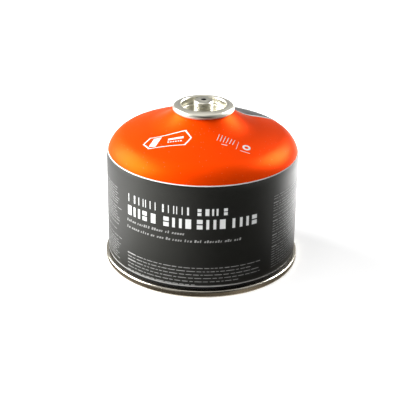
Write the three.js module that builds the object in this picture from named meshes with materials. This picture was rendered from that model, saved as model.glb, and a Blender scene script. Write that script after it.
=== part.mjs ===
// Fuel canister: a screw-on gas cartridge for a camping stove, 108 mm across and 94 mm high.
// Millimetres, +Z up. The origin is the centre of the base rim, on the surface that the can stands on.
// Every piece is turned about Z, from an outline of [radius, height] corners with a round at each.

import * as THREE from 'three';

// Driving dimensions of the can body.
const bodyRadius = 54.0;
const wallTop = 61.15;
const shoulderRadius = 15.1;
const domeRadius = 128.4;
const neckFlareRadius = 36.0;
const neckFlareDegrees = 45;
const footNeckDepth = 0.8;
const footNeckHeight = 1.2;
const wallEdgeRise = 0.9;
const wallEdgeRound = 0.5;

// Driving dimensions of the base end and its double seam.
const seamOverhang = 1.6;
const seamWidth = 3.2;
const seamHeight = 4.0;
const seamRound = 0.9;
const baseSheet = 0.5;
const countersinkWidth = 2.0;
const countersinkDepth = 3.3;
const basePanelRise = 6.2;
const countersinkRound = 0.8;
const countersinkDip = 0.16;

// Driving dimensions of the rolled bead that the valve cup is crimped over.
const beadRadius = 16.3;
const beadWidth = 3.15;
const beadRound = 0.9;
const beadSideHeight = 1.13;

// Driving dimensions of the valve cup.
const cupSheet = 0.45;
const flangeOverhang = 1.17;
const flangeSkirt = 1.75;
const flangeSkirtTuck = 0.3;
const flangeSlope = 0.41;
const flangeRound = 2.2;
const crestRound = 1.3;
const clinchBulge = 0.9;
const clinchRound = 0.8;
const clinchBelowBead = 1.17;
const clinchRise = 1.4;
const pocketTaper = 0.7;
const pocketDepth = 6.3;
const pocketRound = 1.1;

// Driving dimensions of the threaded boss. Its thread is 7/16-28 UNEF, 11.11 mm across the crests.
const bossRadius = 5.555;
const bossHeight = 7.5;
const bossChamfer = 0.6;
const bossFootRound = 0.8;
const bossWall = 1.1;
const bossCap = 1.5;
const lipRadius = 2.6;
const lipTaper = 0.45;
const lipRise = 0.3;
const mouthRadius = 1.48;

// Driving dimensions of the two seals.
const cupGasketThickness = 0.5;
const cupGasketInset = 0.9;
const valveGasketThickness = 1.8;
const valveGasketRecessRadius = 1.0;
const valveGasketRecessDepth = 0.7;

// Clearance between pieces that touch on the real can, and how finely round stretches are divided.
const clearance = 0.3;
const bodySegments = 48;
const cupSegments = 32;
const sealSegments = 24;
const roundSteps = 2;
const shoulderSteps = 6;
const domeSteps = 5;
const neckSteps = 4;
const panelSteps = 5;

// A corner's arc takes less than half of each side, but most of a side that ends the run.
// A parallel run keeps some round at its corners.
const sideShare = 0.48;
const endSideShare = 0.95;
const leastRound = 0.1;

// Points of a circular arc in the outline's plane, both ends included.
function arc(centre, radius, from, to, steps) {
  const points = [];
  for (let i = 0; i <= steps; i += 1) {
    const angle = from + ((to - from) * i) / steps;
    points.push([centre[0] + radius * Math.cos(angle), centre[1] + radius * Math.sin(angle)]);
  }
  return points;
}

// One open run of straight stretches, with each corner [radius, height, round] rounded by an arc.
function roundedRun(corners) {
  const points = [];
  for (let i = 0; i < corners.length; i += 1) {
    const [x, y, round = 0] = corners[i];
    if (i === 0 || i === corners.length - 1 || round <= 0) {
      points.push([x, y]);
      continue;
    }
    const before = new THREE.Vector2(corners[i - 1][0] - x, corners[i - 1][1] - y);
    const after = new THREE.Vector2(corners[i + 1][0] - x, corners[i + 1][1] - y);
    const roomBefore = before.length() * (i === 1 ? endSideShare : sideShare);
    const roomAfter = after.length() * (i === corners.length - 2 ? endSideShare : sideShare);
    const room = Math.min(roomBefore, roomAfter);
    before.normalize();
    after.normalize();
    const half = Math.acos(THREE.MathUtils.clamp(before.dot(after), -1, 1)) / 2;
    const tangent = Math.min(round / Math.tan(half), room);
    const radius = tangent * Math.tan(half);
    const middle = before.clone().add(after).normalize().multiplyScalar(radius / Math.sin(half));
    const centre = [x + middle.x, y + middle.y];
    const start = [x + before.x * tangent - centre[0], y + before.y * tangent - centre[1]];
    const end = [x + after.x * tangent - centre[0], y + after.y * tangent - centre[1]];
    const from = Math.atan2(start[1], start[0]);
    let sweep = Math.atan2(end[1], end[0]) - from;
    sweep -= 2 * Math.PI * Math.round(sweep / (2 * Math.PI));
    points.push(...arc(centre, radius, from, from + sweep, roundSteps));
  }
  return points;
}

// The same run of corners moved sideways: to the right of its direction of travel.
function parallelRun(corners, distance) {
  const unit = (a, b) => new THREE.Vector2(b[0] - a[0], b[1] - a[1]).normalize();
  return corners.map(([x, y, round = 0], i) => {
    const into = unit(corners[Math.max(i - 1, 0)], corners[Math.max(i, 1)]);
    const last = corners.length - 1;
    const out = unit(corners[Math.min(i, last - 1)], corners[Math.min(i + 1, last)]);
    const sideIn = new THREE.Vector2(into.y, -into.x);
    const sideOut = new THREE.Vector2(out.y, -out.x);
    const mitre = sideIn.clone().add(sideOut);
    mitre.multiplyScalar((2 * distance) / mitre.lengthSq());
    const turnsLeft = into.cross(out) > 0;
    const newRound = round > 0 ? Math.max(round + (turnsLeft ? distance : -distance), leastRound) : 0;
    return [x + mitre.x, y + mitre.y, newRound];
  });
}

// A closed mesh turned about Z from an outline that runs anticlockwise, with the radius to the right.
function turned(name, outline, segments, material) {
  const profile = outline.map(([r, z]) => new THREE.Vector2(r, z));
  const geometry = new THREE.LatheGeometry(profile, segments);
  geometry.rotateX(Math.PI / 2);
  const mesh = new THREE.Mesh(geometry, material);
  mesh.name = name;
  return mesh;
}

// Radii that the pieces share, from the outside in.
const footNeckRadius = bodyRadius - footNeckDepth;
const seamRadius = bodyRadius + seamOverhang;
const seamInnerRadius = seamRadius - seamWidth;
const basePanelRadius = seamInnerRadius - countersinkWidth;
const canMouthRadius = beadRadius - beadWidth;
const flangeRadius = beadRadius + flangeOverhang;
const pocketRadius = canMouthRadius - clearance - cupSheet;
const clinchRadius = pocketRadius + clinchBulge;
const pocketFloorRadius = pocketRadius - pocketTaper;
const lipTopRadius = lipRadius - lipTaper;

// Levels that the pieces share, from the base rim up.
const footNeckTop = seamHeight + footNeckHeight;
const domeCentre = wallTop - Math.sqrt((domeRadius - shoulderRadius) ** 2 - (bodyRadius - shoulderRadius) ** 2);

// The dome flares up to the bead on a hollow arc that is tangent to the dome.
const neckFlareAngle = THREE.MathUtils.degToRad(neckFlareDegrees);
const flareCentreRadius = beadRadius + neckFlareRadius * Math.sin(neckFlareAngle);
const flareCentreHeight = domeCentre + Math.sqrt((domeRadius + neckFlareRadius) ** 2 - flareCentreRadius ** 2);
const neckTop = flareCentreHeight - neckFlareRadius * Math.cos(neckFlareAngle);
const beadSideTop = neckTop + beadSideHeight;

// How far a sloping sheet or gap of a given thickness reaches in height.
const slopeStretch = Math.hypot(1, flangeSlope);

// The flange lies over the bead: sheet, clearance, gasket and clearance, all on the same slope.
const beadToFlange = (cupSheet + clearance + cupGasketThickness + clearance) * slopeStretch;
const flangeCorner = beadSideTop + beadToFlange - flangeSlope * (flangeRadius - beadRadius);
const crestTop = flangeCorner + flangeSlope * (flangeRadius - pocketRadius);
const pocketFloor = crestTop - pocketDepth;
const bossTop = pocketFloor + bossHeight;
const clinchHeight = neckTop - clinchBelowBead;

// The valve cup's upper face, from the foot of the boss out to the edge of the flange's skirt.
const cupFace = [
  [bossRadius, pocketFloor, bossFootRound],
  [pocketFloorRadius, pocketFloor, pocketRound],
  [clinchRadius, clinchHeight, clinchRound],
  [pocketRadius, clinchHeight + clinchRise, clinchRound],
  [pocketRadius, crestTop, crestRound],
  [flangeRadius, flangeCorner, flangeRound],
  [flangeRadius - flangeSkirtTuck, flangeCorner - flangeSkirt],
];

const domeStart = Math.atan2(wallTop - domeCentre, bodyRadius - shoulderRadius);
const neckJoint = Math.atan2(flareCentreHeight - domeCentre, flareCentreRadius);

// Drawn and printed can body with what it holds, as one filled solid under the valve cup.
function canBody() {
  const panelGap = baseSheet + clearance;
  const underside = basePanelArc(panelGap);
  const foot = roundedRun([
    [basePanelRadius, seamHeight + clearance],
    [footNeckRadius, seamHeight + clearance],
    [footNeckRadius, footNeckTop, wallEdgeRound],
    [bodyRadius, footNeckTop + wallEdgeRise, wallEdgeRound],
    [bodyRadius, wallTop],
  ]);
  const shoulder = arc([bodyRadius - shoulderRadius, wallTop], shoulderRadius, 0, domeStart, shoulderSteps);
  const dome = arc([0, domeCentre], domeRadius, domeStart, neckJoint, domeSteps);
  const flareCentre = [flareCentreRadius, flareCentreHeight];
  const flareEnd = -Math.PI / 2 - neckFlareAngle;
  const neck = arc(flareCentre, neckFlareRadius, neckJoint - Math.PI, flareEnd, neckSteps);
  const recess = parallelRun(cupFace, cupSheet + clearance).slice(0, 4);
  const beadInnerTop = beadSideTop + flangeSlope * beadWidth;
  const bead = roundedRun([
    [beadRadius, neckTop],
    [beadRadius, beadSideTop, beadRound],
    [canMouthRadius, beadInnerTop, beadRound],
    recess[3],
    recess[2],
    recess[1],
    [0, recess[1][1]],
  ]);
  const outline = [
    ...underside,
    ...foot,
    ...shoulder.slice(1),
    ...dome.slice(1),
    ...neck.slice(1, -1),
    ...bead,
  ];
  const paint = new THREE.MeshStandardMaterial({ color: 0xe04a06, roughness: 0.28, metalness: 0.15 });
  return turned('can_body', outline, bodySegments, paint);
}

// The base panel bulges up into the can. This is its lower face, raised by a distance, from the axis out.
function basePanelArc(raised) {
  const rise = basePanelRise;
  const radius = (basePanelRadius ** 2 + rise ** 2) / (2 * rise);
  const centre = [0, countersinkDepth + rise - radius];
  const raisedRadius = radius + raised;
  const endAngle = Math.acos(Math.min(basePanelRadius / raisedRadius, 1));
  return arc(centre, raisedRadius, Math.PI / 2, endAngle, panelSteps);
}

// Tinplate base end: domed panel, countersink and the double seam that the can stands on.
function baseEnd() {
  const lowerPanel = basePanelArc(0);
  const rim = roundedRun([
    [basePanelRadius, countersinkDepth],
    [seamInnerRadius - countersinkRound, countersinkDepth - countersinkDip, countersinkRound],
    [seamInnerRadius, 0, seamRound],
    [seamRadius, 0, seamRound],
    [seamRadius, seamHeight, seamRound],
    [seamInnerRadius, seamHeight],
    [basePanelRadius, basePanelArc(baseSheet).at(-1)[1]],
  ]);
  const upperPanel = basePanelArc(baseSheet).reverse();
  const outline = [...lowerPanel.slice(0, -1), ...rim, ...upperPanel.slice(1)];
  const tinplate = new THREE.MeshStandardMaterial({ color: 0xb9b6aa, roughness: 0.3, metalness: 1.0 });
  return turned('base_end', outline, bodySegments, tinplate);
}

// Pressed valve cup: flange crimped over the bead, pocket, and the threaded boss with its raised mouth.
function valveCup() {
  const under = parallelRun(cupFace, cupSheet);
  const boreRadius = bossRadius - bossWall;
  const upper = roundedRun([
    [mouthRadius, bossTop + lipRise],
    [lipTopRadius, bossTop + lipRise, lipTopRadius - mouthRadius],
    [lipRadius, bossTop],
    [bossRadius - bossChamfer, bossTop],
    [bossRadius, bossTop - bossChamfer],
    ...cupFace,
  ]);
  const lower = roundedRun([
    ...under.slice(1).reverse(),
    [boreRadius, under[1][1]],
    [boreRadius, bossTop - bossCap],
    [mouthRadius, bossTop - bossCap],
  ]);
  const outline = [...upper, ...lower, upper[0]].reverse();
  const nickel = new THREE.MeshStandardMaterial({ color: 0xaaa593, roughness: 0.32, metalness: 1.0 });
  return turned('valve_cup', outline, cupSegments, nickel);
}

// Flat ring seal between the bead and the flange, pressed to the flange's slope.
function cupGasket() {
  const topAt = (r) => crestTop - flangeSlope * (r - pocketRadius) - (cupSheet + clearance) * slopeStretch;
  const drop = cupGasketThickness * slopeStretch;
  const inner = pocketRadius + cupSheet + clearance + cupGasketInset;
  const outer = beadRadius - cupGasketInset;
  const outline = [
    [inner, topAt(inner) - drop],
    [outer, topAt(outer) - drop],
    [outer, topAt(outer)],
    [inner, topAt(inner)],
    [inner, topAt(inner) - drop],
  ];
  const rubber = new THREE.MeshStandardMaterial({ color: 0x1a1a1a, roughness: 0.8, metalness: 0.0 });
  return turned('cup_gasket', outline, cupSegments, rubber);
}

// Black rubber seal in the boss, which shows through the mouth and has a dimple in its middle.
function valveGasket() {
  const top = bossTop - bossCap - clearance;
  const bottom = top - valveGasketThickness;
  const radius = bossRadius - bossWall - clearance;
  const outline = [
    [0, bottom],
    [radius, bottom],
    [radius, top],
    [valveGasketRecessRadius, top],
    [valveGasketRecessRadius, top - valveGasketRecessDepth],
    [0, top - valveGasketRecessDepth],
  ];
  const rubber = new THREE.MeshStandardMaterial({ color: 0x121212, roughness: 0.7, metalness: 0.0 });
  return turned('valve_gasket', outline, sealSegments, rubber);
}

const canister = new THREE.Group();
canister.name = 'fuel_canister';
canister.add(canBody(), baseEnd(), valveCup(), cupGasket(), valveGasket());

export default canister;
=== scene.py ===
# %% [markdown]
# # A screw-on fuel canister
# The real object is a squat steel can for a camping stove: a drawn and printed body, a tinplate base that
# is rolled onto it in a double seam, and a plated valve cup that is crimped over the neck.
# The imported model gives every piece its place and size. This lesson rebuilds its three metal solids as finer
# turned meshes on the same outlines, keeps its two seals, prints the body with thin films of ink, and lights
# it as in a studio.

# %% Load the imported model
import math
import random

import bmesh
import bpy
from mathutils import Matrix, Vector


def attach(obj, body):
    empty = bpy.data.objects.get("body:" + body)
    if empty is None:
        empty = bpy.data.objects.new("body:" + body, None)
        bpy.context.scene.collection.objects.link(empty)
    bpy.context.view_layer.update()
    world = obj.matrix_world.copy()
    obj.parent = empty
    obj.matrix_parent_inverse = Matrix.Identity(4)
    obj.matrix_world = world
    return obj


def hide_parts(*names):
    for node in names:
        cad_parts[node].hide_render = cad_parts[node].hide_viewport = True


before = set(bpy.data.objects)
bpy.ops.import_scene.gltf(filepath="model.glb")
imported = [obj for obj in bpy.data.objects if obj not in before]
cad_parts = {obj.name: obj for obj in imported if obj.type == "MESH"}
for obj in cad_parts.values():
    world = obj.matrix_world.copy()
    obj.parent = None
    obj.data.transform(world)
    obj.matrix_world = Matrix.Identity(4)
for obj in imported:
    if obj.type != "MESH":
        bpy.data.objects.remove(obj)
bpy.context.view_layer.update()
MM = 0.001

# %% [markdown]
# ## The camera
# The place of the camera was found by fitting the outline of a can of these sizes to the picture: the wall,
# the base seam, the printed border and the flange. It stands about 0.62 m away and looks down by 25 degrees,
# with a long lens and a slight roll. A turn matrix built from the view's own axes keeps the roll exact.

# %% Camera
CAMERA_PITCH = math.radians(25.038)
CAMERA_ROLL = math.radians(0.898)
CAMERA_DISTANCE = 621.989
CAMERA_SIDE = 1.352
CAMERA_RISE = 10.996
AIM_HEIGHT = 45.0
FOCAL_IN_PIXELS = 1089.118
FRAME_IN_PIXELS = 400
SENSOR_MM = 36.0
CLIP_START, CLIP_END = 0.05, 20.0


def add_object(name, data):
    """A new object in the scene."""
    made = bpy.data.objects.new(name, data)
    bpy.context.scene.collection.objects.link(made)
    return made


def place_camera():
    """The scene's camera, at the fitted place, with its lens in millimetres."""
    ahead = Vector((0, math.cos(CAMERA_PITCH), -math.sin(CAMERA_PITCH)))
    level = Vector((1, 0, 0))
    raised = level.cross(ahead)
    right = math.cos(CAMERA_ROLL) * level + math.sin(CAMERA_ROLL) * raised
    up = math.cos(CAMERA_ROLL) * raised - math.sin(CAMERA_ROLL) * level
    aim = Vector((0, 0, AIM_HEIGHT))
    spot = aim - ahead * CAMERA_DISTANCE - right * CAMERA_SIDE - up * CAMERA_RISE
    data = bpy.data.cameras.new("camera")
    data.sensor_width = SENSOR_MM
    data.lens = SENSOR_MM * FOCAL_IN_PIXELS / FRAME_IN_PIXELS
    data.clip_start = CLIP_START
    data.clip_end = CLIP_END
    camera = add_object("camera", data)
    turn = Matrix((right, up, -ahead)).transposed()
    camera.matrix_world = Matrix.Translation(spot * MM) @ turn.to_4x4()
    bpy.context.scene.camera = camera
    return camera


camera = place_camera()
print("camera at", [round(v, 4) for v in camera.location], "lens", round(camera.data.lens, 2))

# %% [markdown]
# ## Outlines
# Everything on this can was turned, drawn or rolled, so each piece is half of its own section, turned about
# Z. A section is a run of corners, each with a round, as a draughtsman would note it. The sizes repeat those
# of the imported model, and only the rounds are divided more finely here.

# %% Driving sizes in millimetres
BODY_RADIUS = 54.0
WALL_TOP = 61.15
SHOULDER_RADIUS = 15.1
DOME_RADIUS = 128.4
FLARE_RADIUS = 36.0
FLARE_ANGLE = math.radians(45)
FOOT_NECK_RADIUS = BODY_RADIUS - 0.8
WALL_EDGE_LOW = 5.2
WALL_EDGE_RISE = 0.9
WALL_EDGE_ROUND = 0.5
SEAM_RADIUS = BODY_RADIUS + 1.6
SEAM_INNER = SEAM_RADIUS - 3.2
SEAM_HEIGHT = 4.0
SEAM_ROUND = 0.9
BASE_SHEET = 0.5
PANEL_RADIUS = SEAM_INNER - 2.0
PANEL_EDGE = 3.3
PANEL_RISE = 6.2
COUNTERSINK_ROUND = 0.8
COUNTERSINK_DIP = 0.16
BEAD_RADIUS = 16.3
BEAD_WIDTH = 3.15
BEAD_ROUND = 0.9
BEAD_SIDE = 1.13
CUP_SHEET = 0.45
CLEARANCE = 0.3
GASKET = 0.5
FLANGE_RADIUS = BEAD_RADIUS + 1.17
FLANGE_SLOPE = 0.41
FLANGE_SKIRT = 1.75
FLANGE_TUCK = 0.3
FLANGE_ROUND = 2.2
CREST_ROUND = 1.3
POCKET_RADIUS = BEAD_RADIUS - BEAD_WIDTH - CLEARANCE - CUP_SHEET
POCKET_TAPER = 0.7
POCKET_DEPTH = 6.3
POCKET_ROUND = 1.1
CLINCH_BULGE = 0.9
CLINCH_ROUND = 0.8
CLINCH_BELOW_BEAD = 1.17
CLINCH_RISE = 1.4
BOSS_RADIUS = 5.555
BOSS_HEIGHT = 7.5
BOSS_CHAMFER = 0.6
BOSS_FOOT_ROUND = 0.8
BOSS_WALL = 1.1
BOSS_CAP = 1.5
LIP_RADIUS = 2.6
LIP_TOP_RADIUS = LIP_RADIUS - 0.45
LIP_RISE = 0.3
MOUTH_RADIUS = 1.48
THREAD_PITCH = 0.907
THREAD_DEPTH = 0.5

# %% Levels worked out from the sizes
SHOULDER_CENTRE = BODY_RADIUS - SHOULDER_RADIUS
DOME_CENTRE = WALL_TOP - math.sqrt((DOME_RADIUS - SHOULDER_RADIUS) ** 2 - SHOULDER_CENTRE ** 2)
FLARE_CENTRE = BEAD_RADIUS + FLARE_RADIUS * math.sin(FLARE_ANGLE)
FLARE_HEIGHT = DOME_CENTRE + math.sqrt((DOME_RADIUS + FLARE_RADIUS) ** 2 - FLARE_CENTRE ** 2)
NECK_TOP = FLARE_HEIGHT - FLARE_RADIUS * math.cos(FLARE_ANGLE)
BEAD_TOP = NECK_TOP + BEAD_SIDE
SLOPE_STRETCH = math.hypot(1, FLANGE_SLOPE)
FLANGE_CORNER = (BEAD_TOP + (CUP_SHEET + CLEARANCE + GASKET + CLEARANCE) * SLOPE_STRETCH
                 - FLANGE_SLOPE * (FLANGE_RADIUS - BEAD_RADIUS))
CREST_TOP = FLANGE_CORNER + FLANGE_SLOPE * (FLANGE_RADIUS - POCKET_RADIUS)
POCKET_FLOOR = CREST_TOP - POCKET_DEPTH
BOSS_TOP = POCKET_FLOOR + BOSS_HEIGHT
CLINCH_HEIGHT = NECK_TOP - CLINCH_BELOW_BEAD
print("neck top", round(NECK_TOP, 2), "crest", round(CREST_TOP, 2), "boss top", round(BOSS_TOP, 2))


# %% Arcs, rounded runs and parallel runs
SIDE_SHARE = 0.48
END_SHARE = 0.95


def arc(centre, radius, start, end, steps):
    """Points of an arc, both ends included. Angles are in radians."""
    turn = (end - start) / steps
    angles = [start + turn * i for i in range(steps + 1)]
    return [(centre[0] + radius * math.cos(a), centre[1] + radius * math.sin(a)) for a in angles]


def rounded_run(corners, steps=8):
    """A run of straight stretches whose corners (radius, height, round) are rounded by arcs."""
    points = []
    for i, (x, y, *rest) in enumerate(corners):
        corner = Vector((x, y))
        size = rest[0] if rest else 0.0
        if i in (0, len(corners) - 1) or size <= 0:
            points.append((x, y))
            continue
        before = Vector(corners[i - 1][:2]) - corner
        after = Vector(corners[i + 1][:2]) - corner
        room = min(before.length * (END_SHARE if i == 1 else SIDE_SHARE),
                   after.length * (END_SHARE if i == len(corners) - 2 else SIDE_SHARE))
        before.normalize()
        after.normalize()
        half = before.angle(after) / 2
        tangent = min(size / math.tan(half), room)
        radius = tangent * math.tan(half)
        centre = corner + (before + after).normalized() * (radius / math.sin(half))
        first = corner + before * tangent - centre
        last = corner + after * tangent - centre
        start = math.atan2(first.y, first.x)
        sweep = math.remainder(math.atan2(last.y, last.x) - start, 2 * math.pi)
        points += arc(centre, radius, start, start + sweep, steps)
    return points


def parallel_run(corners, distance):
    """The same corners moved sideways, to the right of the direction of travel."""
    moved = []
    last = len(corners) - 1
    for i, (x, y, *rest) in enumerate(corners):
        here, there = corners[max(i - 1, 0)], corners[max(i, 1)]
        into = Vector((there[0] - here[0], there[1] - here[1])).normalized()
        here, there = corners[min(i, last - 1)], corners[min(i + 1, last)]
        out = Vector((there[0] - here[0], there[1] - here[1])).normalized()
        mitre = Vector((into.y + out.y, -into.x - out.x))
        mitre *= 2 * distance / mitre.length_squared
        turns_left = into.x * out.y - into.y * out.x > 0
        size = rest[0] + (distance if turns_left else -distance) if rest else 0.0
        moved.append((x + mitre.x, y + mitre.y, max(size, 0.1) if rest else 0.0))
    return moved


print("a rounded corner has", len(rounded_run([(0, 0), (1, 0, 0.3), (1, 1)])), "points")

# %% [markdown]
# ## Turning an outline
# Blender's Screw modifier could turn a section too, but rings built here give each stretch of the outline
# its own material, so the borders of the print stay sharp. They also let the thread on the boss be a real
# helix: a small change of radius that climbs with the angle.

# %% Turned pieces
AXIS_RADIUS = 1e-6
SHARP_ANGLE = math.radians(38)


def run_area(rows):
    """Twice the signed area inside an outline, positive when it runs anticlockwise."""
    pairs = zip(rows, rows[1:] + rows[:1])
    return sum(a[0] * b[1] - b[0] * a[1] for a, b in pairs)


def join_runs(runs):
    """One outline and the material number of each stretch, anticlockwise."""
    rows, zones = [], []
    for points, zone in runs:
        rows += points[1:] if rows else points
        zones += [zone] * (len(points) - 1)
    if run_area(rows) < 0:
        rows.reverse()
        zones.reverse()
    return rows, zones


def turned_piece(name, runs, materials, segments, cut=None):
    """A closed mesh turned about Z. cut(radius, height, angle) may take some radius away."""
    rows, zones = join_runs(runs)
    closed = math.dist(rows[0], rows[-1]) < AXIS_RADIUS
    if closed:
        rows = rows[:-1]
    mesh = bmesh.new()
    rings = []
    for radius, height in rows:
        if radius < AXIS_RADIUS:
            rings.append([mesh.verts.new((0, 0, height * MM))])
            continue
        ring = []
        for step in range(segments):
            angle = 2 * math.pi * step / segments
            r = radius - (cut(radius, height, angle) if cut else 0.0)
            ring.append(mesh.verts.new((r * math.cos(angle) * MM, r * math.sin(angle) * MM, height * MM)))
        rings.append(ring)
    for i, zone in enumerate(zones):
        low, high = rings[i], rings[(i + 1) % len(rings)]
        for step in range(segments):
            after = (step + 1) % segments
            corners = [low[step % len(low)], low[after % len(low)],
                       high[after % len(high)], high[step % len(high)]]
            face = mesh.faces.new(list(dict.fromkeys(corners)))
            face.material_index = zone
            face.smooth = True
    data = bpy.data.meshes.new(name)
    mesh.to_mesh(data)
    mesh.free()
    data.set_sharp_from_angle(angle=SHARP_ANGLE)
    for material in materials:
        data.materials.append(material)
    return add_object(name, data)


# %% [markdown]
# ## Finishes
# Four finishes cover the can: glossy print over tinplate, bare tinplate, the plated cup and black rubber.
# What they share is made once as node groups: turning marks round the axis, the faint ripple of a stoved
# varnish, rub marks where the can touches other things, and a little dust. Each material places the groups
# with its own values, and keeps its own shader.

# %% Node helpers
def add(tree, kind, inputs=None, **settings):
    """A new node with its settings, and its inputs set to values or linked to sockets."""
    node = tree.nodes.new(kind)
    for key, value in settings.items():
        setattr(node, key, value)
    for key, value in (inputs or {}).items():
        if isinstance(value, bpy.types.NodeSocket):
            tree.links.new(value, node.inputs[key])
        else:
            node.inputs[key].default_value = value
    return node


def new_group(name, inputs, outputs):
    """An empty node group with these float inputs and outputs."""
    tree = bpy.data.node_groups.new(name, "ShaderNodeTree")
    for key, value in inputs.items():
        socket = tree.interface.new_socket(name=key, in_out="INPUT", socket_type="NodeSocketFloat")
        socket.default_value = value
    for key in outputs:
        tree.interface.new_socket(name=key, in_out="OUTPUT", socket_type="NodeSocketFloat")
    return tree, add(tree, "NodeGroupInput"), add(tree, "NodeGroupOutput")


def maths(tree, operation, *values, clamp=False):
    """The output socket of a Math node."""
    node = add(tree, "ShaderNodeMath", dict(enumerate(values)), operation=operation, use_clamp=clamp)
    return node.outputs[0]


def times(tree, a, b):
    """The product of two values."""
    return maths(tree, "MULTIPLY", a, b)


def object_place(tree):
    """The place in the object's own axes."""
    return add(tree, "ShaderNodeTexCoord").outputs["Object"]


def noise(tree, place, scale, detail):
    """The value of a noise at a place."""
    inputs = {"Vector": place, "Scale": scale, "Detail": detail}
    return add(tree, "ShaderNodeTexNoise", inputs).outputs["Fac"]


def from_axis(tree, x, y):
    """The distance from the Z axis."""
    squares = [times(tree, part, part) for part in (x, y)]
    return maths(tree, "SQRT", maths(tree, "ADD", *squares))


# %% Group: marks that run round the axis
def turning_marks_group():
    tree, given, made = new_group(
        "turning marks", {"Density": 1500.0, "Breaks": 3.0, "Contrast": 1.0}, ["Mask"])
    parts = add(tree, "ShaderNodeSeparateXYZ", {"Vector": object_place(tree)})
    x, y, z = (parts.outputs[key] for key in "XYZ")
    angle = maths(tree, "ARCTAN2", y, x)
    across = times(tree, maths(tree, "ADD", from_axis(tree, x, y), z), given.outputs["Density"])
    around = times(tree, maths(tree, "SINE", angle), given.outputs["Breaks"])
    other = times(tree, maths(tree, "COSINE", angle), given.outputs["Breaks"])
    vector = add(tree, "ShaderNodeCombineXYZ", {"X": across, "Y": around, "Z": other})
    centred = maths(tree, "SUBTRACT", noise(tree, vector.outputs[0], 1.0, 3.0), 0.5)
    spread = maths(tree, "ADD", times(tree, centred, given.outputs["Contrast"]), 0.5, clamp=True)
    tree.links.new(spread, made.inputs["Mask"])
    return tree


# %% Group: ripple of a stoved varnish
def varnish_ripple_group():
    tree, given, made = new_group(
        "varnish ripple", {"Fine Scale": 1400.0, "Broad Scale": 160.0, "Broad Share": 0.4}, ["Height"])
    place = object_place(tree)
    fine = noise(tree, place, given.outputs["Fine Scale"], 2.0)
    broad = noise(tree, place, given.outputs["Broad Scale"], 1.0)
    weighed = times(tree, broad, given.outputs["Broad Share"])
    tree.links.new(maths(tree, "ADD", fine, weighed), made.inputs["Height"])
    return tree


# %% Group: rub marks in a band of heights
RUB_PATCHES = 70.0
RUB_THRESHOLD = 0.2
RUB_GAIN = 8.0


def rub_marks_group():
    tree, given, made = new_group(
        "rub marks", {"Height": 0.005, "Spread": 0.001, "Amount": 0.5, "Grain": 900.0}, ["Mask"])
    place = object_place(tree)
    z = add(tree, "ShaderNodeSeparateXYZ", {"Vector": place}).outputs["Z"]
    away = maths(tree, "ABSOLUTE", maths(tree, "SUBTRACT", z, given.outputs["Height"]))
    near = maths(tree, "SUBTRACT", 1.0, maths(tree, "DIVIDE", away, given.outputs["Spread"]), clamp=True)
    grain = noise(tree, place, given.outputs["Grain"], 3.0)
    both = times(tree, noise(tree, place, RUB_PATCHES, 2.0), grain)
    lifted = maths(tree, "MULTIPLY", maths(tree, "SUBTRACT", both, RUB_THRESHOLD), RUB_GAIN, clamp=True)
    worn = times(tree, times(tree, near, lifted), given.outputs["Amount"])
    tree.links.new(worn, made.inputs["Mask"])
    return tree


# %% Group: specks of dust on what faces up
SPECK_SIZE = 0.09


def dust_group():
    tree, given, made = new_group("dust", {"Scale": 420.0, "Amount": 0.2}, ["Mask"])
    facing = add(tree, "ShaderNodeNewGeometry").outputs["Normal"]
    upward = add(tree, "ShaderNodeSeparateXYZ", {"Vector": facing}).outputs["Z"]
    cells = {"Vector": object_place(tree), "Scale": given.outputs["Scale"]}
    specks = add(tree, "ShaderNodeTexVoronoi", cells)
    small = maths(tree, "LESS_THAN", specks.outputs["Distance"], SPECK_SIZE)
    lying = times(tree, small, maths(tree, "MAXIMUM", upward, 0.0))
    tree.links.new(times(tree, lying, given.outputs["Amount"]), made.inputs["Mask"])
    return tree


GROUPS = {
    "marks": turning_marks_group(),
    "ripple": varnish_ripple_group(),
    "rub": rub_marks_group(),
    "dust": dust_group(),
}
print("node groups", [tree.name for tree in GROUPS.values()])


# %% Placing groups in a material
def place_group(tree, key, **values):
    """What a node group gives in a material, with its own values."""
    inputs = {name.replace("_", " "): value for name, value in values.items()}
    return add(tree, "ShaderNodeGroup", inputs, node_tree=GROUPS[key]).outputs[0]


def new_material(name, **shader):
    """A material with a Principled shader and these plain values on it."""
    material = bpy.data.materials.new(name)
    material.use_nodes = True
    tree = material.node_tree
    principled = tree.nodes["Principled BSDF"]
    for key, value in shader.items():
        principled.inputs[key.replace("_", " ")].default_value = value
    return material, tree, principled


def blend_colours(tree, amount, low, high):
    """A colour that goes from low to high with a mask."""
    return add(tree, "ShaderNodeMix", {0: amount, 6: low, 7: high}, data_type="RGBA").outputs[2]


def span(tree, value, low, high):
    """A mask mapped onto the numbers from low to high."""
    return add(tree, "ShaderNodeMapRange", {"Value": value, "To Min": low, "To Max": high}).outputs["Result"]


def raise_bumps(tree, principled, height, strength, depth):
    """A Bump node that feeds the shader's Normal."""
    bump = add(tree, "ShaderNodeBump", {"Height": height, "Strength": strength, "Distance": depth})
    tree.links.new(bump.outputs["Normal"], principled.inputs["Normal"])


# %% [markdown]
# ## Printed metal
# The body is printed in orange and dark grey, then varnished and stoved. One satin layer gives the broad
# highlights of the picture, so there is no clear coat, which would add a sharper one. The orange is partly
# metallic with a weak tinted gloss, which keeps it deep. Its colour wanders a little, and it ripples.

# %% Printed inks
INK_CLOUDS = 26.0
FOOT_RUB = {"Height": 0.0062, "Spread": 0.0011}
BARED_TIN = (0.42, 0.41, 0.38, 1)
INK_DUST = (0.7, 0.68, 0.62, 1)


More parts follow.
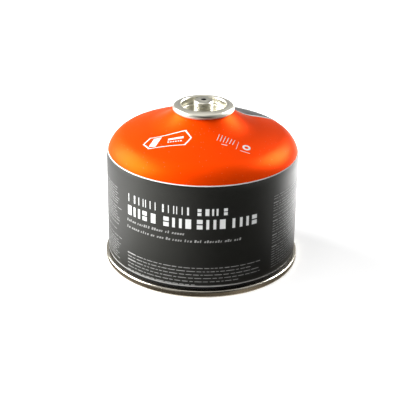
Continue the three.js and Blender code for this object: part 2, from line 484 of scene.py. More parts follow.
def printed_ink(name, colour, deeper, roughness, gloss, tint, metal, rubbed):
    """Ink under varnish. metal is how much of the tin shows, rubbed the wear along the wall's foot."""
    material, tree, principled = new_material(
        name, IOR=1.5, Specular_IOR_Level=gloss, Specular_Tint=(*tint, 1), Metallic=metal)
    cloud = noise(tree, object_place(tree), INK_CLOUDS, 2.0)
    ink = blend_colours(tree, cloud, (*colour, 1), (*deeper, 1))
    rub = place_group(tree, "rub", Amount=rubbed, **FOOT_RUB)
    worn = blend_colours(tree, rub, ink, BARED_TIN)
    dusty = blend_colours(tree, place_group(tree, "dust", Amount=0.16), worn, INK_DUST)
    tree.links.new(dusty, principled.inputs["Base Color"])
    marks = place_group(tree, "marks", Density=900.0, Breaks=9.0, Contrast=0.8)
    tree.links.new(span(tree, marks, roughness - 0.03, roughness + 0.04), principled.inputs["Roughness"])
    raise_bumps(tree, principled, place_group(tree, "ripple", Broad_Share=0.8), 0.05, 0.0002)
    return material


# Each row is the colour, the deeper colour, then roughness, gloss, tint, metal and rubbed.
INKS = {
    "orange_ink": ((0.95, 0.062, 0.0005), (0.93, 0.057, 0.0004), 0.4, 0.04, (1, 0.6, 0.2), 0.36, 0.0),
    "grey_ink": ((0.011, 0.011, 0.009), (0.009, 0.009, 0.0075), 0.38, 0.5, (1, 1, 0.94), 0.0, 0.5),
    "white_ink": ((0.82, 0.83, 0.82), (0.78, 0.79, 0.78), 0.45, 0.3, (1, 1, 1), 0.0, 0.0),
    # This grey ink also paints the highlight along the wall's rolled edge.
    "small_print_and_highlight_ink": ((0.36, 0.36, 0.35), (0.32, 0.32, 0.31), 0.45, 0.3, (1, 1, 1), 0.0, 0.0),
}
orange_ink, grey_ink, white_ink, highlight_and_small_print_ink = (printed_ink(name, *row) for name, row in INKS.items())
print("inks", list(INKS))


# %% [markdown]
# ## Bare metal
# Tinplate is bright steel with a thin tin coat. It mirrors the room softly, with fine lines left by the
# seaming rollers. The cup is plated and a little warmer, and its faces carry turning marks. Both are fully
# metallic, and their look comes from what they reflect.

# %% Bare metals
STAIN_CLOUDS = 130.0
RUBBED_STEEL = (0.3, 0.29, 0.27, 1)


def bare_metal(name, colour, tarnish, roughness, marks_density, bump):
    """Bright metal with rolling or turning marks and a slight tarnish."""
    material, tree, principled = new_material(name, Metallic=1.0)
    cloud = noise(tree, object_place(tree), STAIN_CLOUDS, 4.0)
    stained = blend_colours(tree, span(tree, cloud, 0.0, 0.6), (*colour, 1), (*tarnish, 1))
    rub = place_group(tree, "rub", Height=0.0, Spread=0.0012, Amount=0.6)
    tree.links.new(blend_colours(tree, rub, stained, RUBBED_STEEL), principled.inputs["Base Color"])
    marks = place_group(tree, "marks", Density=marks_density, Breaks=5.0, Contrast=0.7)
    rough = maths(tree, "ADD", span(tree, marks, roughness - 0.05, roughness + 0.07), times(tree, rub, 0.2))
    tree.links.new(rough, principled.inputs["Roughness"])
    raise_bumps(tree, principled, marks, bump, 0.00002)
    return material


tinplate = bare_metal("tinplate", (0.62, 0.58, 0.5), (0.5, 0.46, 0.38), 0.2, 2600.0, 0.006)
plated_cup = bare_metal("plated_cup", (0.68, 0.66, 0.57), (0.58, 0.56, 0.47), 0.28, 3200.0, 0.006)
print("metals", tinplate.name, plated_cup.name)


# %% [markdown]
# ## Black rubber
# The two seals are nitrile rubber, nearly black and matt. A plain dark colour would look painted, so one
# noise gives its grain to the colour, the roughness and the relief.

# %% Seal rubber
RUBBER_GRAIN = 2500.0
RUBBER_DARK, RUBBER_LIGHT = (0.006, 0.006, 0.006, 1), (0.014, 0.014, 0.014, 1)
RUBBER_DUST = (0.2, 0.2, 0.19, 1)


def seal_rubber():
    material, tree, principled = new_material("seal_rubber", Specular_IOR_Level=0.3)
    grain = noise(tree, object_place(tree), RUBBER_GRAIN, 3.0)
    dust = place_group(tree, "dust", Scale=900.0, Amount=0.1)
    dark = blend_colours(tree, grain, RUBBER_DARK, RUBBER_LIGHT)
    tree.links.new(blend_colours(tree, dust, dark, RUBBER_DUST), principled.inputs["Base Color"])
    tree.links.new(span(tree, grain, 0.55, 0.8), principled.inputs["Roughness"])
    raise_bumps(tree, principled, grain, 0.3, 0.00003)
    return material


# The same rubber also paints the shade in the groove at the wall's foot.
rubber_and_shade = seal_rubber()
print("rubber_and_shade", rubber_and_shade.name)

# %% [markdown]
# ## The can body
# The border between the orange top and the grey wall is a thin white line just above the start of the
# shoulder. The outline is split there, so each colour is its own stretch of the turned mesh. At the foot the
# dark print stops short, and the thin rolled edge there is given pale grey ink as a painted highlight, not
# bare tin. The groove under that edge is painted near black with the seals' rubber, as painted shade.

# %% Can body
BORDER_LOW = 65.25
BORDER_HIGH = 65.8
PRINT_FOOT = 6.75
EDGE_REACH = 0.1
WALL_ROWS = (20, 40, WALL_TOP)
BODY_SEGMENTS = 256
BARE, GREY, WHITE, ORANGE, GROOVE_SHADE, EDGE_HIGHLIGHT = range(6)

dome_start = math.atan2(WALL_TOP - DOME_CENTRE, SHOULDER_CENTRE)
neck_joint = math.atan2(FLARE_HEIGHT - DOME_CENTRE, FLARE_CENTRE)
flare_end = -math.pi / 2 - FLARE_ANGLE
cup_face = [
    (BOSS_RADIUS, POCKET_FLOOR, BOSS_FOOT_ROUND),
    (POCKET_RADIUS - POCKET_TAPER, POCKET_FLOOR, POCKET_ROUND),
    (POCKET_RADIUS + CLINCH_BULGE, CLINCH_HEIGHT, CLINCH_ROUND),
    (POCKET_RADIUS, CLINCH_HEIGHT + CLINCH_RISE, CLINCH_ROUND),
    (POCKET_RADIUS, CREST_TOP, CREST_ROUND),
    (FLANGE_RADIUS, FLANGE_CORNER, FLANGE_ROUND),
    (FLANGE_RADIUS - FLANGE_TUCK, FLANGE_CORNER - FLANGE_SKIRT),
]


def panel_arc(raised, steps=12):
    """The base panel's lower face, raised by a distance, from the axis out."""
    radius = (PANEL_RADIUS ** 2 + PANEL_RISE ** 2) / (2 * PANEL_RISE)
    centre = (0, PANEL_EDGE + PANEL_RISE - radius)
    end = math.acos(PANEL_RADIUS / (radius + raised))
    return arc(centre, radius + raised, math.pi / 2, end, steps)


def shoulder_angle(height):
    """The angle on the shoulder's arc at a height."""
    return math.asin((height - WALL_TOP) / SHOULDER_RADIUS)


def shoulder_arc(start, end, steps):
    return arc((SHOULDER_CENTRE, WALL_TOP), SHOULDER_RADIUS, start, end, steps)


def can_body():
    base = SEAM_HEIGHT + CLEARANCE
    foot = rounded_run([
        (FOOT_NECK_RADIUS, base),
        (FOOT_NECK_RADIUS, WALL_EDGE_LOW, WALL_EDGE_ROUND),
        (BODY_RADIUS, WALL_EDGE_LOW + WALL_EDGE_RISE, WALL_EDGE_ROUND),
        (BODY_RADIUS, PRINT_FOOT),
    ])
    edge = next(i for i, point in enumerate(foot) if point[0] > BODY_RADIUS - EDGE_REACH)
    low, high = shoulder_angle(BORDER_LOW), shoulder_angle(BORDER_HIGH)
    recess = parallel_run(cup_face, CUP_SHEET + CLEARANCE)[:4]
    flare = arc((FLARE_CENTRE, FLARE_HEIGHT), FLARE_RADIUS, neck_joint - math.pi, flare_end, 24)
    bead = rounded_run([
        flare[-1],
        (BEAD_RADIUS, BEAD_TOP, BEAD_ROUND),
        (BEAD_RADIUS - BEAD_WIDTH, BEAD_TOP + FLANGE_SLOPE * BEAD_WIDTH, BEAD_ROUND),
        *reversed(recess[1:]),
        (0, recess[1][1]),
    ])
    runs = [
        (panel_arc(BASE_SHEET + CLEARANCE) + [(PANEL_RADIUS, base), foot[0]], BARE),
        # painted shade: the groove under the wall's edge is given the black rubber where it only lies in shade
        (foot[:edge + 1], GROOVE_SHADE),
        # painted highlight: the thin rolled edge gets pale grey ink for the bright line the metal shows there
        (foot[edge:], EDGE_HIGHLIGHT),
        ([foot[-1], *((BODY_RADIUS, height) for height in WALL_ROWS)], GREY),
        (shoulder_arc(0, low, 10), GREY),
        (shoulder_arc(low, high, 1), WHITE),
        (shoulder_arc(high, dome_start, 24), ORANGE),
        (arc((0, DOME_CENTRE), DOME_RADIUS, dome_start, neck_joint, 20), ORANGE),
        (flare, ORANGE),
        (bead, BARE),
    ]
    materials = [tinplate, grey_ink, white_ink, orange_ink, rubber_and_shade, highlight_and_small_print_ink]
    return turned_piece("can_shell", runs, materials, BODY_SEGMENTS)


can_shell = can_body()
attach(can_shell, "root")
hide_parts("can_body")
print("can shell faces", len(can_shell.data.polygons))

# %% [markdown]
# ## The base end
# The base is a dished disc whose rim is rolled twice with the foot of the body. From outside it shows as a
# fat bright ring under the dark groove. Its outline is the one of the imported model, with finer rounds.


# %% Base end
def base_end():
    rim = rounded_run([
        (PANEL_RADIUS, PANEL_EDGE),
        (SEAM_INNER - COUNTERSINK_ROUND, PANEL_EDGE - COUNTERSINK_DIP, COUNTERSINK_ROUND),
        (SEAM_INNER, 0, SEAM_ROUND),
        (SEAM_RADIUS, 0, SEAM_ROUND),
        (SEAM_RADIUS, SEAM_HEIGHT, SEAM_ROUND),
        (SEAM_INNER, SEAM_HEIGHT),
        panel_arc(BASE_SHEET)[-1],
    ], steps=10)
    upper = panel_arc(BASE_SHEET)[::-1]
    runs = [(panel_arc(0), 0), (rim, 0), (upper, 0)]
    return turned_piece("base_seam", runs, [tinplate], BODY_SEGMENTS)


base_seam = base_end()
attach(base_seam, "root")
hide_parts("base_end")
print("base seam faces", len(base_seam.data.polygons))

# %% [markdown]
# ## The valve cup and its thread
# The cup is pressed from one sheet: a flange over the bead, a pocket, and a boss with a rolled thread of
# 28 turns to the inch. The thread is cut into the boss's rings as a V with a flat crest and root, which
# climbs one pitch a turn and fades out at both ends. The mouth is lined with the black of the seal below it.

# %% Valve cup
CUP_SEGMENTS = 192
THREAD_ROWS = 96
THREAD_FADE = 0.7
TOP_FADE = 0.28
VALLEY_GAIN, VALLEY_SHIFT = 1.35, 0.15

thread_low = POCKET_FLOOR + BOSS_FOOT_ROUND
thread_high = BOSS_TOP - BOSS_CHAMFER


def thread_cut(radius, height, angle):
    """How deep the thread is at a place on the boss's side, and nothing elsewhere."""
    if abs(radius - BOSS_RADIUS) > 0.001 or not thread_low < height < thread_high:
        return 0.0
    phase = (height / THREAD_PITCH - angle / (2 * math.pi)) % 1.0
    valley = min(max(VALLEY_GAIN * (1 - abs(2 * phase - 1)) - VALLEY_SHIFT, 0.0), 1.0)
    fade = min((height - thread_low) / THREAD_FADE, (thread_high - height) / TOP_FADE, 1.0)
    return THREAD_DEPTH * valley * fade


def valve_cup():
    under = parallel_run(cup_face, CUP_SHEET)
    bore = BOSS_RADIUS - BOSS_WALL
    lip = rounded_run([
        (MOUTH_RADIUS, BOSS_TOP + LIP_RISE),
        (LIP_TOP_RADIUS, BOSS_TOP + LIP_RISE, LIP_TOP_RADIUS - MOUTH_RADIUS),
        (LIP_RADIUS, BOSS_TOP),
        (BOSS_RADIUS - BOSS_CHAMFER, BOSS_TOP),
        (BOSS_RADIUS, thread_high),
    ])
    rise = (thread_high - thread_low) / THREAD_ROWS
    side = [(BOSS_RADIUS, thread_high - rise * i) for i in range(THREAD_ROWS + 1)]
    face = rounded_run([(BOSS_RADIUS, thread_high), *cup_face], steps=10)
    foot = next(i for i, point in enumerate(face) if i and point[1] <= thread_low + 0.001)
    inside = rounded_run([
        *reversed(under[1:]),
        (bore, under[1][1]),
        (bore, BOSS_TOP - BOSS_CAP),
        (MOUTH_RADIUS, BOSS_TOP - BOSS_CAP),
    ])
    mouth = [inside[-1], lip[0]]
    runs = [(lip, 0), (side, 0), ([side[-1], *face[foot + 1:]], 0), ([face[-1], *inside], 0), (mouth, 1)]
    return turned_piece("threaded_valve_cup", runs, [plated_cup, rubber_and_shade], CUP_SEGMENTS, thread_cut)


cup = valve_cup()
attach(cup, "root")
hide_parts("valve_cup")
print("cup faces", len(cup.data.polygons), "thread from", round(thread_low, 2), "to", round(thread_high, 2))

# %% [markdown]
# ## The seals
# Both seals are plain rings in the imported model, and one shows only through the 3 mm mouth of the boss.
# Their solids are right as they are, so they stay and only get the rubber.

# %% Seals
for node in ("cup_gasket", "valve_gasket"):
    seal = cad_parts[node]
    seal.data.materials.clear()
    seal.data.materials.append(rubber_and_shade)
    print(node, "in rubber")

# %% [markdown]
# ## Films of ink
# The rest of the print is thin films that stand a few hundredths of a millimetre off the metal, as screened
# ink does. A picture texture would blur close up. A film is a small closed grid, bent onto the wall or the
# dome, so its edges stay crisp. The shapes are plain bars, blocks, dots and rings.

# %% Film builder
INK_LIFT = 0.05
INK_SINK = 0.05
PATCH_STEP = 1.2
HALF_RING_STEPS = 14


class InkFilms:
    """Gathers films into one mesh. place(s, t, lift) gives the point on the metal."""

    def __init__(self, name, place, lift=INK_LIFT):
        self.name = name
        self.place = place
        self.lift = lift
        self.mesh = bmesh.new()

    def patch(self, shape, across, up):
        """A closed film over shape(u, v), u and v from 0 to 1, in so many steps each way."""
        layers = []
        for lift in (self.lift, -INK_SINK):
            layer = []
            for i in range(across + 1):
                column = [self.place(*shape(i / across, j / up), lift) for j in range(up + 1)]
                layer.append([self.mesh.verts.new(point * MM) for point in column])
            layers.append(layer)
        top, bottom = layers
        for i in range(across):
            for j in range(up):
                self.mesh.faces.new((top[i][j], top[i + 1][j], top[i + 1][j + 1], top[i][j + 1]))
                self.mesh.faces.new((bottom[i][j], bottom[i][j + 1], bottom[i + 1][j + 1], bottom[i + 1][j]))
        rim = [(i, 0) for i in range(across)] + [(across, j) for j in range(up)]
        rim += [(i, up) for i in range(across, 0, -1)] + [(0, j) for j in range(up, 0, -1)]
        for (i, j), (k, m) in zip(rim, rim[1:] + rim[:1]):
            self.mesh.faces.new((top[i][j], bottom[i][j], bottom[k][m], top[k][m]))

    def quad(self, a, b, c, d, across, up=1):
        """A film between four corners, in order round it."""
        def shape(u, v):
            near = [p + (q - p) * u for p, q in zip(a, b)]
            far = [p + (q - p) * u for p, q in zip(d, c)]
            return [p + (q - p) * v for p, q in zip(near, far)]
        self.patch(shape, across, up)

    def bar(self, left, right, low, high, slant=0.0):
        """A bar that leans to the right by slant."""
        steps = max(1, math.ceil((right - left) / PATCH_STEP))
        self.patch(lambda u, v: (left + (right - left) * u + slant * v, low + (high - low) * v), steps, 1)

    def ring(self, centre, outer, inner):
        """A ring, made of two half rings."""
        for start in (0, math.pi):
            def shape(u, v, start=start):
                radius = inner + (outer - inner) * (1 - v)
                angle = start + math.pi * u
                return centre[0] + radius * math.cos(angle), centre[1] + radius * math.sin(angle)
            self.patch(shape, HALF_RING_STEPS, 1)

    def piece(self, material):
        """The finished piece, riding on the can."""
        bmesh.ops.recalc_face_normals(self.mesh, faces=self.mesh.faces)
        data = bpy.data.meshes.new(self.name)
        self.mesh.to_mesh(data)
        self.mesh.free()
        data.materials.append(material)
        film = add_object(self.name, data)
        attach(film, "root")
        return film


# %% Places on the wall and on the dome
def on_wall(across, height, lift):
    """across is the distance round the wall in mm from the middle of the front, to the right."""
    angle = across / BODY_RADIUS
    radius = BODY_RADIUS + lift
    return Vector((radius * math.sin(angle), -radius * math.cos(angle), height))


def on_dome(x, y, lift):
    """x and y are the place seen from above, in mm. The front is at negative y."""
    radius = math.hypot(x, y)
    if radius > FLARE_CENTRE * DOME_RADIUS / (DOME_RADIUS + FLARE_RADIUS):
        height = DOME_CENTRE + math.sqrt(DOME_RADIUS ** 2 - radius ** 2)
        slope = radius / (height - DOME_CENTRE)
    else:
        height = FLARE_HEIGHT - math.sqrt(FLARE_RADIUS ** 2 - (FLARE_CENTRE - radius) ** 2)
        slope = (FLARE_CENTRE - radius) / (FLARE_HEIGHT - height)
    away = Vector((x * slope / radius, y * slope / radius, 1)).normalized()
    return Vector((x, y, height)) + away * lift


def degrees_round(angle):
    """The distance round the wall, in mm, of an angle in degrees from the front."""
    return math.radians(angle) * BODY_RADIUS


# %% [markdown]
# ## Print on the front of the wall
# Where the can carries words, this one has plain marks of the same size and weight, which spell nothing.
# The two heading rows are upright bars, pairs of bars and stacked blocks in a mixed order. The rows below
# them are small slanted blocks, and the notes at the foot are short dashes of uneven length.

# %% Marks of the two heading rows
HEADING = (48.8, 53.4)
NUMBER = (48.8, 52.8)
TITLE = (40.9, 46.5)
ROWS_START = -48.8
WAIST_SHARE = 0.25


def mark_row(films, start, end, low, high, kinds, stroke, gap):
    """Marks of equal width from one angle to the other: p is a pair of upright bars, s two stacked
    blocks, b a broad bar and t a thin bar."""
    left, right = degrees_round(start), degrees_round(end)
    pitch = (right - left + gap) / len(kinds)
    for i, kind in enumerate(kinds):
        near = left + i * pitch
        far = near + pitch - gap
        middle = (near + far) / 2
        if kind == "p":
            films.bar(near, near + stroke, low, high)
            films.bar(far - stroke, far, low, high)
            continue
        half = stroke / 2 if kind == "t" else stroke
        waist, slit = (low + high) / 2, WAIST_SHARE * stroke
        for under, over in ((low, waist - slit), (waist + slit, high)) if kind == "s" else ((low, high),):
            films.bar(middle - half, middle + half, under, over)


front_marks = InkFilms("front_marks", on_wall)
for row in (
    (ROWS_START, -6.0, *HEADING, "tspptsppb", 0.5, 1.15),
    (-3.2, 9.2, *NUMBER, "sbp", 1.05, 0.8),
    (11.4, 15.4, *NUMBER, "s", 1.05, 0.8),
    (ROWS_START, -26.2, *TITLE, "bpsb", 1.45, 0.75),
    (-23.4, 34.0, *TITLE, "spbspbtps", 1.55, 0.8),
):
    mark_row(front_marks, *row)
front_marks = front_marks.piece(white_ink)
print("front mark faces", len(front_marks.data.polygons))


# %% Small rows
BLOCK_WIDTHS, BLOCK_RISES = (0.6, 0.85, 1.0), (0.0, 0.0, 0.45)
BLOCK_TALL, BLOCK_SLANT, BLOCK_PITCH = 1.05, 0.3, 1.45
BLOCK_ROOM, GROUP_GAP = 0.7, 0.9
WORD_LENGTHS, WORD_GAPS, WORD_ROOM = (1.2, 5.0), (0.6, 1.0), 0.8


def block_row(films, rng, start, end, low):
    """Slanted little blocks in groups, some of them taller."""
    left, right = degrees_round(start), degrees_round(end)
    while left < right - BLOCK_ROOM:
        group = rng.randint(2, 8)
        for i in range(group):
            if left > right - BLOCK_ROOM:
                break
            high = low + BLOCK_TALL + BLOCK_TALL * rng.choice(BLOCK_RISES)
            films.bar(left, left + rng.choice(BLOCK_WIDTHS), low, high, BLOCK_SLANT)
            left += BLOCK_PITCH
        left += GROUP_GAP


def word_row(films, rng, start, end, low, tall, bold=0.0):
    """A row of short dashes of uneven length, with a bold one of a given length first."""
    left, right = degrees_round(start), degrees_round(end)
    if bold:
        films.bar(left, left + bold, low - 0.1, low + tall + 0.2)
        left += bold + WORD_ROOM
    while left < right - WORD_ROOM:
        word = min(rng.uniform(*WORD_LENGTHS), right - left)
        films.bar(left, left + word, low, low + tall)
        left += word + rng.uniform(*WORD_GAPS)


front_rows = InkFilms("front_rows", on_wall)
rng = random.Random(11)
block_row(front_rows, rng, -48.7, -10.0, 36.9)
block_row(front_rows, rng, -48.7, 24.2, 32.9)
NOTE_ENDS = (37.0, 31.0, 36.0, 36.5, 22.0, -2.0)
NOTE_START, NOTE_TOP, NOTE_PITCH, NOTE_TALL = -48.6, 17.3, 2.05, 0.34
for i, end in enumerate(NOTE_ENDS):
    bold = 6.4 if i in (0, 2) else 0.0
    word_row(front_rows, rng, NOTE_START, end, NOTE_TOP - NOTE_PITCH * i, NOTE_TALL, bold)
front_rows = front_rows.piece(highlight_and_small_print_ink)
print("front row faces", len(front_rows.data.polygons))

# %% [markdown]
# ## Print on the sides and the back
# The notes at the sides are columns of small rows in groups. The left column ends raggedly near the front
# print, and the right one starts there. Both go on round the can, where the picture doesn't reach.

# %% Side and back rows
ROW_PITCH = 1.56
ROW_TALL = 0.26
ROW_BOLD = 4.2


def note_column(name, seed, start, ends, top, groups):
    """Groups of rows, one under the other. A group of 0 leaves a row free."""
    films = InkFilms(name, on_wall)
    rng = random.Random(seed)
    low = top
    for rows in groups:
        for i in range(rows):
            bold = ROW_BOLD if i == 0 and rows > 2 else 0.0
            word_row(films, rng, start, rng.uniform(*ends), low, ROW_TALL, bold)
            low -= ROW_PITCH
        low -= ROW_PITCH * 0.5 if rows else ROW_PITCH
    return films.piece(highlight_and_small_print_ink)


left_rows = note_column("left_rows", 3, -112.0, (-60.0, -54.5), 52.4, (7, 6, 1, 0, 1, 0, 1, 8))
right_rows = note_column("right_rows", 5, 45.5, (84.0, 100.0), 53.0, (2, 4, 2, 5, 4, 9))
back_rows = note_column("back_rows", 8, 128.0, (196.0, 214.0), 50.0, (5, 6, 4))
print("columns", left_rows.name, right_rows.name, back_rows.name)

# %% [markdown]
# ## Marks on the dome
# The front of the dome carries a badge on the left and small marks on the right. Here they are a pointed
# frame with a slanted block, a bar and six dots in it, and three pairs of bars, a rule, a ring and dashes.

# %% Badge and marks
BADGE_CENTRE = (-19.2, -24.8)
BADGE_WIDE, BADGE_TALL, BADGE_POINT = 26.4, 10.4, 3.4
BADGE_LINE = 0.5
MARK_CENTRE = (16.5, -29.0)
MARK_TURN = math.radians(-12)


def turned_place(centre, angle):
    """on_dome in local axes about a centre, turned by an angle."""
    def place(s, t, lift):
        x = centre[0] + s * math.cos(angle) - t * math.sin(angle)
        y = centre[1] + s * math.sin(angle) + t * math.cos(angle)
        return on_dome(x, y, lift)
    return place


def banner_frame(films, wide, tall, point, line):
    """The outline of a banner: a long bar with a point at each end."""
    half, top = wide / 2, tall / 2
    flat = half - point
    outer = [(-half, 0), (-flat, -top), (flat, -top), (half, 0), (flat, top), (-flat, top)]
    shrink = (half - 1.6 * line) / half, (top - line) / top
    inner = [(x * shrink[0], y * shrink[1]) for x, y in outer]
    for i in range(6):
        k = (i + 1) % 6
        films.quad(outer[i], outer[k], inner[k], inner[i], 16)


badge = InkFilms("dome_badge", turned_place(BADGE_CENTRE, math.radians(-1.5)))
banner_frame(badge, BADGE_WIDE, BADGE_TALL, BADGE_POINT, BADGE_LINE)
badge.quad((-9.8, -3.2), (-6.2, -3.9), (-3.2, 3.9), (-7.4, 3.6), 6, 10)
badge.bar(0.2, 8.6, 0.2, 1.5, 0.2)
for i in range(6):
    badge.bar(0.2 + 1.35 * i, 1.0 + 1.35 * i, -1.9, -1.1)
badge = badge.piece(white_ink)

marks = InkFilms("dome_marks", turned_place(MARK_CENTRE, MARK_TURN))
for i in range(3):
    marks.bar(-9.6 + 3.4 * i, -9.25 + 3.4 * i, 0.4, 5.0, 0.5)
    marks.bar(-7.9 + 3.4 * i, -7.55 + 3.4 * i, 0.4, 5.0, 0.5)
marks.bar(-6.6, -3.4, -1.6, -1.2)
marks.bar(1.6, 1.8, -2.6, 4.4)
marks.ring((6.6, 1.4), 2.2, 1.1)
marks.bar(3.8, 9.2, -2.9, -2.55)
marks = marks.piece(white_ink)
print("dome marks", badge.name, marks.name)

# %% [markdown]
# ## The grey panel behind the valve
# The grey of the wall climbs the dome at the back in one broad panel with a white edge. It follows the
# body's outline, so its films are placed by the angle round the can and the distance along the outline.

# %% Back panel
PANEL_FROM, PANEL_TO = 118.0, 190.0
PANEL_LINE = 2.5
PANEL_CORNER = 5.0
PANEL_LENGTH = 30.0
PANEL_TOP_GAP = 0.1
PANEL_GRID = (48, 50)
PANEL_START = BORDER_LOW - 0.6

slope = arc((0, DOME_CENTRE), DOME_RADIUS, dome_start, neck_joint, 8)
flare = arc((FLARE_CENTRE, FLARE_HEIGHT), FLARE_RADIUS, neck_joint - math.pi, flare_end, 24)
panel_path = shoulder_arc(shoulder_angle(PANEL_START), dome_start, 24) + slope[1:] + flare[1:-1]


def along_path(share):
    """The point (radius, height) and the outward direction at a share of the panel's path."""
    spot = min(share, 0.9999) * (len(panel_path) - 1)
    i = int(spot)
    (r0, z0), (r1, z1) = panel_path[i], panel_path[i + 1]
    part = spot - i
    away = Vector((z1 - z0, r0 - r1)).normalized()
    return r0 + (r1 - r0) * part, z0 + (z1 - z0) * part, away


def on_path(angle, share, lift):
    """The point at an angle in degrees from the front and a share of the panel's path."""
    radius, height, away = along_path(share)
    radius += away.x * lift
    turn = math.radians(angle)
    return Vector((radius * math.sin(turn), -radius * math.cos(turn), height + away.y * lift))


def sector(inset, top_inset, corner):
    """The panel's shape, drawn in by a distance at its sides and its top end."""
    def shape(u, v):
        share = v * (1 - top_inset)
        radius = along_path(share)[0]
        near_end = max(0.0, 1 - (1 - v) * PANEL_LENGTH / corner) if corner else 0.0
        draw_in = inset + corner * (1 - math.sqrt(max(0.0, 1 - near_end ** 2)))
        side = math.degrees(math.asin(min(draw_in / radius, 1)))
        return PANEL_FROM + side + (PANEL_TO - PANEL_FROM - 2 * side) * u, share
    return shape


panel_edge = InkFilms("back_panel_edge", on_path)
panel_edge.patch(sector(0.0, 0.0, 0.0), *PANEL_GRID)
panel_edge = panel_edge.piece(white_ink)
back_panel = InkFilms("back_panel", on_path, 2 * INK_LIFT)
back_panel.patch(sector(PANEL_LINE, PANEL_TOP_GAP, PANEL_CORNER), *PANEL_GRID)
back_panel = back_panel.piece(grey_ink)
print("panel faces", len(back_panel.data.polygons))

# %% [markdown]
# ## Floor and studio
# The picture was taken on white, with a large soft lamp on the left, a smaller one behind on the right, and
# a dark room in front, which is why the middle of the wall and of the seam is dark. A black card stands for
# that room, a glowing one overhead lights the cup, and two rings on the floor carry the light that the foot
# mirrors, angle by angle. All four show only in reflections. The floor is pale, keeps the can's shadow, and
# shows white to the camera.

# %% Floor
FLOOR_HALF = 4.0
FLOOR_GLOW = 0.72
FLOOR_HEIGHT = -0.0002
PAPER = (0.8, 0.8, 0.8, 1)


def seen_rays(tree):
    """1 for rays that show the background: from the camera, a mirror or glass."""
    path = add(tree, "ShaderNodeLightPath")
    seen = maths(tree, "MAXIMUM", path.outputs["Is Camera Ray"], path.outputs["Is Glossy Ray"])
    return maths(tree, "MAXIMUM", seen, path.outputs["Is Transmission Ray"])


def empty_material(name):
    """A material without its Principled shader, its tree and the input for its surface."""
    material, tree, principled = new_material(name)
    tree.nodes.remove(principled)
    return material, tree, tree.nodes["Material Output"].inputs["Surface"]


def floor_material():
    material, tree, surface = empty_material("studio_floor")
    paper = add(tree, "ShaderNodeBsdfDiffuse", {"Color": PAPER})
    strength = times(tree, seen_rays(tree), FLOOR_GLOW)
    glow = add(tree, "ShaderNodeEmission", {"Strength": strength})
    both = add(tree, "ShaderNodeAddShader", {0: paper.outputs[0], 1: glow.outputs[0]})
    tree.links.new(both.outputs[0], surface)
    return material


def staged_card(name, points, faces, material):
    """A card of the studio, which is no piece of the can."""
    data = bpy.data.meshes.new(name)
    data.from_pydata(points, [], faces)
    data.materials.append(material)
    card = add_object(name, data)
    return card


def flat_card(name, centre, across, up, material):
    """A flat card from its centre and its two half edges."""
    signs = ((-1, -1), (1, -1), (1, 1), (-1, 1))
    corners = [Vector(centre) + i * Vector(across) + j * Vector(up) for i, j in signs]
    return staged_card(name, corners, [(0, 1, 2, 3)], material)


floor = flat_card("floor", (0, 0, FLOOR_HEIGHT), (FLOOR_HALF, 0, 0), (0, FLOOR_HALF, 0), floor_material())
print(floor.name, "half width in m", FLOOR_HALF)


# %% Cards that only reflections see
REFLECTION_BY_ANGLE = (
    (-180, 1.3), (-150, 1.2), (-110, 1.8), (-76, 2.6), (-50, 1.7), (-26, 0.9), (-5, 0.35),
    (12, 0.12), (26, 0.1), (50, 0.1), (85, 0.6), (106, 3.3), (128, 5.2), (150, 3.4), (180, 1.3),
)
FOOT_BY_ANGLE = (
    (-180, 0.9), (-150, 0.8), (-110, 0.7), (-76, 0.8), (-50, 0.9), (-26, 0.35), (-5, 0.28),
    (12, 0.5), (26, 0.95), (50, 0.45), (85, 0.6), (106, 0.8), (128, 1.0), (150, 1.0), (180, 0.9),
)
REFLECTION_NEAR, REFLECTION_MIDDLE, REFLECTION_FAR = 0.0562, 0.0625, 0.7
FALLOFF = {"From Min": REFLECTION_MIDDLE, "From Max": 0.11, "To Min": 0.3, "To Max": 0.95}
FOOT_TINT = (1, 0.86, 0.68)
RING_HEIGHT = 0.0004
RING_STEPS = 96
TOP_GLOW = 1.2


def only_in_reflections(card):
    for rays in ("camera", "diffuse", "shadow", "transmission"):
        setattr(card, "visible_" + rays, False)


def reflection_material(name, by_angle, colour):
    """Light by the angle round the can, from the front, and less of it close to the can's foot."""
    material, tree, surface = empty_material(name)
    parts = add(tree, "ShaderNodeSeparateXYZ", {"Vector": object_place(tree)})
    x, y = parts.outputs["X"], parts.outputs["Y"]
    angle = maths(tree, "ARCTAN2", x, times(tree, y, -1.0))
    share = maths(tree, "ADD", maths(tree, "DIVIDE", angle, 2 * math.pi), 0.5)
    ramp = add(tree, "ShaderNodeValToRGB", {"Fac": share})
    ramp.color_ramp.interpolation = "EASE"
    while len(ramp.color_ramp.elements) < len(by_angle):
        ramp.color_ramp.elements.new(0.5)
    for stop, (degrees, level) in zip(ramp.color_ramp.elements, by_angle):
        stop.position = degrees / 360 + 0.5
    peak = max(level for degrees, level in by_angle)
    for stop, (degrees, level) in zip(ramp.color_ramp.elements, by_angle):
        stop.color = (*(level / peak,) * 3, 1)
    falloff = add(tree, "ShaderNodeMapRange", {"Value": from_axis(tree, x, y), **FALLOFF})
    level = times(tree, ramp.outputs["Color"], falloff.outputs["Result"])
    strength = times(tree, level, peak)
    glow = add(tree, "ShaderNodeEmission", {"Color": (*colour, 1), "Strength": strength})
    tree.links.new(glow.outputs[0], surface)
    return material


def ring_card(name, near, far, material):
    """A flat ring round the can, just above the floor."""
    turns = [2 * math.pi * i / RING_STEPS for i in range(RING_STEPS)]
    points = [(r * math.cos(turn), r * math.sin(turn), RING_HEIGHT) for r in (near, far) for turn in turns]
    pairs = [(i, (i + 1) % RING_STEPS) for i in range(RING_STEPS)]
    faces = [(i, RING_STEPS + i, RING_STEPS + k, k) for i, k in pairs]
    return staged_card(name, points, faces, material)


def top_light():
    material, tree, surface = empty_material("top_light")
    glow = add(tree, "ShaderNodeEmission", {"Strength": TOP_GLOW})
    tree.links.new(glow.outputs[0], surface)
    return material


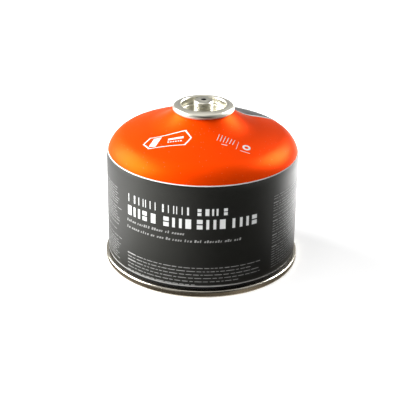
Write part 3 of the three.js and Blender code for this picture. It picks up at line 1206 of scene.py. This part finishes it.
black_cloth = new_material(
    "black_cloth", Base_Color=(0.01, 0.01, 0.01, 1), Roughness=1.0, Specular_IOR_Level=0.0)[0]
far_light = reflection_material("floor_reflection", REFLECTION_BY_ANGLE, (1, 1, 1))
foot_light = reflection_material("foot_reflection", FOOT_BY_ANGLE, FOOT_TINT)
CARDS = (
    ring_card("floor_reflection", REFLECTION_MIDDLE, REFLECTION_FAR, far_light),
    ring_card("foot_reflection", REFLECTION_NEAR, REFLECTION_MIDDLE, foot_light),
    flat_card("front_card", (0.25, -1.1, 0.5), (0.75, 0, 0), (0, 0, 0.55), black_cloth),
    flat_card("top_card", (0, 0.16, 0.85), (0.45, 0, 0), (0, 0.2, 0), top_light()),
)
for card in CARDS:
    only_in_reflections(card)
print("cards that only reflections see", [card.name for card in CARDS])

# %% [markdown]
# ## Lamps and world
# Area lamps are soft like a photographer's boxes. The right lamp lights no diffuse surface, so it only draws
# its highlight. The fill lamp brightens the left, and no reflection shows it. The world is white to the
# camera and dim for everything else.

# %% Lamps
def soft_lamp(name, spot, aim, wide, tall, power):
    """A rectangular lamp that points at a place."""
    data = bpy.data.lights.new(name, "AREA")
    data.shape = "RECTANGLE"
    data.size = wide
    data.size_y = tall
    data.energy = power
    lamp = add_object(name, data)
    lamp.location = spot
    lamp.rotation_euler = (Vector(aim) - Vector(spot)).to_track_quat("-Z", "Y").to_euler()
    return lamp


CAN_MIDDLE = (0, 0, 0.05)
# Each row is the place and the aim in m, the width and the height in m, and the power in W.
LAMPS = {
    "left_lamp": ((-0.8, 0.14, 0.45), CAN_MIDDLE, 0.9, 0.7, 27.0),
    "right_lamp": ((0.68, 0.36, 0.5), CAN_MIDDLE, 0.5, 0.5, 12.0),
    "top_lamp": ((-0.12, -0.25, 0.9), CAN_MIDDLE, 0.5, 0.35, 0.5),
    "fill_lamp": ((-0.75, -0.75, 0.6), CAN_MIDDLE, 0.8, 0.8, 5.0),
}
for name, settings in LAMPS.items():
    lamp = soft_lamp(name, *settings)
    lamp.visible_glossy = name != "fill_lamp"
    lamp.visible_diffuse = name != "right_lamp"
    print("lamp", name, settings[-1], "W")


# %% World
WORLD_FILL = 0.18
WORLD_REFLECTED = 0.45


def studio_world():
    world = bpy.data.worlds.new("studio")
    world.use_nodes = True
    tree = world.node_tree
    path = add(tree, "ShaderNodeLightPath")
    reflected = times(tree, path.outputs["Is Glossy Ray"], WORLD_REFLECTED)
    dim = maths(tree, "MAXIMUM", reflected, WORLD_FILL)
    strength = maths(tree, "MAXIMUM", path.outputs["Is Camera Ray"], dim)
    tree.links.new(strength, tree.nodes["Background"].inputs["Strength"])
    tree.nodes["Background"].inputs["Color"].default_value = (1, 1, 1, 1)
    bpy.context.scene.world = world
    return world


studio_world()
bpy.context.scene.view_settings.view_transform = "Standard"
print("world fill", WORLD_FILL)
